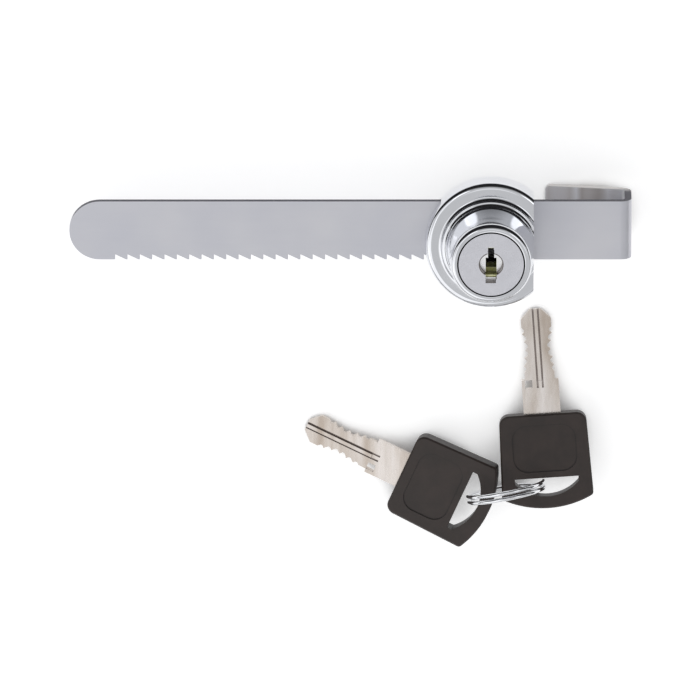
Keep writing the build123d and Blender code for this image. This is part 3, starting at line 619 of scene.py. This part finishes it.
def floor_material():
    material = bpy.data.materials.new("floor_white")
    material.use_nodes = True
    tree = material.node_tree
    shader = tree.nodes["Principled BSDF"]
    shader.inputs["Roughness"].default_value = 0.9
    shader.inputs["Specular IOR Level"].default_value = 0.0
    shader.inputs["Emission Color"].default_value = (1, 1, 1, 1)
    path = tree.nodes.new("ShaderNodeLightPath").outputs

    # Reflections see the floor painted dark beyond the lock's plain edge, a painted dark reflection
    place = tree.nodes.new("ShaderNodeTexCoord").outputs["Object"]
    far = span(tree, part_of(tree, place, "Y"), 0.0, 1.0, *DARK_FROM_Y)
    dark = maths(tree, "MULTIPLY", far, path["Is Glossy Ray"])
    tree.links.new(mix(tree, dark, FLOOR_GREY, FLOOR_DARK), shader.inputs["Base Color"])

    # The glow makes the open floor white, and fades close to the object, which paints a soft contact shadow
    # there
    contact = tree.nodes.new("ShaderNodeAmbientOcclusion")
    contact.samples = 12
    contact.inputs["Distance"].default_value = CONTACT_REACH
    lifted = maths(tree, "MULTIPLY", contact.outputs["AO"], CONTACT_LIFT)
    open_floor = maths(tree, "MINIMUM", maths(tree, "POWER", lifted, CONTACT_POWER), 1.0)
    seen = maths(tree, "MULTIPLY", path["Is Camera Ray"], open_floor)
    seen = maths(tree, "MAXIMUM", seen, path["Is Glossy Ray"])
    glow = maths(tree, "MULTIPLY", maths(tree, "SUBTRACT", seen, dark), FLOOR_GLOW)
    tree.links.new(glow, shader.inputs["Emission Strength"])
    return material


bpy.ops.mesh.primitive_plane_add(size=6, location=(0, 0, TABLE_Z * MM - FLOOR_DROP))
floor = bpy.context.object
floor.name = "floor"
floor.data.materials.append(floor_material())


# World, an even studio with a dark horizon, and with light and dark areas that the plating mirrors
WORLD_LEVEL = 0.66
WORLD_DARKEST = 0.02
HORIZON_Z = 0.05
HORIZON_EDGE = (0.06, 0.12)
HORIZON_CHANGE = -0.6

# Direction, inner and outer angle in degrees, and change of level
WORLD_AREAS = (
    # Broad light beyond the bar's tip and overhead, and a faint one on the side of the teeth
    ((-0.90, -0.30, 0.32), 12, 30, 0.50),
    ((0.0, 0.05, 1.0), 6, 12, 0.30),
    ((0.6, -0.7, 0.35), 14, 34, 0.05),
    # Two small bright lights and a dimmer one beside each, which the neck mirrors
    ((-0.40, 0.42, 0.82), 6, 9.5, 1.0),
    ((0.49, 0.27, 0.83), 6, 9.5, 1.0),
    ((-0.52, 0.14, 0.84), 9, 15, 0.45),
    ((0.58, 0.05, 0.81), 7, 14, 0.35),
    # Dark wall beyond the plain edge, with a soft upper border, and its two wings
    ((0.0, 1.0, 0.10), 38, 60, -0.42),
    ((0.0, 1.0, 0.0), 37, 42, -1.2),
    ((-0.75, 0.66, 0.10), 26, 33, -1.2),
    ((0.75, 0.66, 0.10), 26, 33, -1.2),
    # Dark patches beyond both ends of the bar
    ((-0.97, 0.0, 0.05), 8, 14, -1.2),
    ((0.97, 0.0, 0.05), 8, 14, -1.2),
)

world = bpy.data.worlds.new("studio")
scene.world = world
world.use_nodes = True
sky = world.node_tree
background = sky.nodes["Background"]
direction = sky.nodes.new("ShaderNodeTexCoord").outputs["Generated"]


def towards(place, inner, outer):
    """1 within the inner angle of a direction, 0 beyond the outer one, in degrees."""
    dot = sky.nodes.new("ShaderNodeVectorMath")
    dot.operation = "DOT_PRODUCT"
    sky.links.new(direction, dot.inputs[0])
    dot.inputs[1].default_value = Vector(place).normalized()
    from_low = math.cos(math.radians(outer))
    from_high = math.cos(math.radians(inner))
    return span(sky, dot.outputs["Value"], 0.0, 1.0, from_low, from_high, smooth=True)


level = WORLD_LEVEL
for place, inner, outer, change in WORLD_AREAS:
    level = maths(sky, "ADD", level, maths(sky, "MULTIPLY", towards(place, inner, outer), change))
from_horizon = maths(sky, "ABSOLUTE", maths(sky, "SUBTRACT", part_of(sky, direction, "Z"), HORIZON_Z))
horizon = span(sky, from_horizon, HORIZON_CHANGE, 0.0, *HORIZON_EDGE, smooth=True)
level = maths(sky, "MAXIMUM", maths(sky, "ADD", level, horizon), WORLD_DARKEST)
camera_ray = sky.nodes.new("ShaderNodeLightPath").outputs["Is Camera Ray"]
sky.links.new(maths(sky, "MAXIMUM", level, camera_ray), background.inputs["Strength"])
background.inputs["Color"].default_value = (0.985, 0.99, 1.0, 1)


# Lamp and camera, both aimed at the middle of the view
AIM = Vector((-0.03416, -0.0306, 0.0016))
LAMP_PLACE = Vector((-0.45, -0.55, 0.75))
LAMP_SIZE = 0.9
LAMP_POWER = 1.4
VIEW_TILT = math.radians(18.5)
LENS = 1000.0
SENSOR_WIDTH = 36.0
WIDTH_AT_AIM = 0.1703

lamp_data = bpy.data.lights.new("key_light", "AREA")
lamp_data.shape = "RECTANGLE"
lamp_data.size = LAMP_SIZE
lamp_data.size_y = LAMP_SIZE
lamp_data.energy = LAMP_POWER
lamp = bpy.data.objects.new("key_light", lamp_data)
scene.collection.objects.link(lamp)
lamp.location = LAMP_PLACE
lamp.rotation_mode = "QUATERNION"
lamp.rotation_quaternion = (AIM - LAMP_PLACE).to_track_quat("-Z", "Y")

camera_data = bpy.data.cameras.new("camera")
camera_data.lens = LENS
camera_data.sensor_width = SENSOR_WIDTH
camera = bpy.data.objects.new("camera", camera_data)
scene.collection.objects.link(camera)
distance = WIDTH_AT_AIM * LENS / SENSOR_WIDTH
across = Vector((1, 0, 0))
up = Vector((0, math.cos(VIEW_TILT), -math.sin(VIEW_TILT)))
back = Vector((0, math.sin(VIEW_TILT), math.cos(VIEW_TILT)))
turn = Matrix((across, up, back)).transposed().to_4x4()
camera.matrix_world = Matrix.Translation(AIM + back * distance) @ turn
scene.camera = camera
scene.view_settings.view_transform = "Standard"
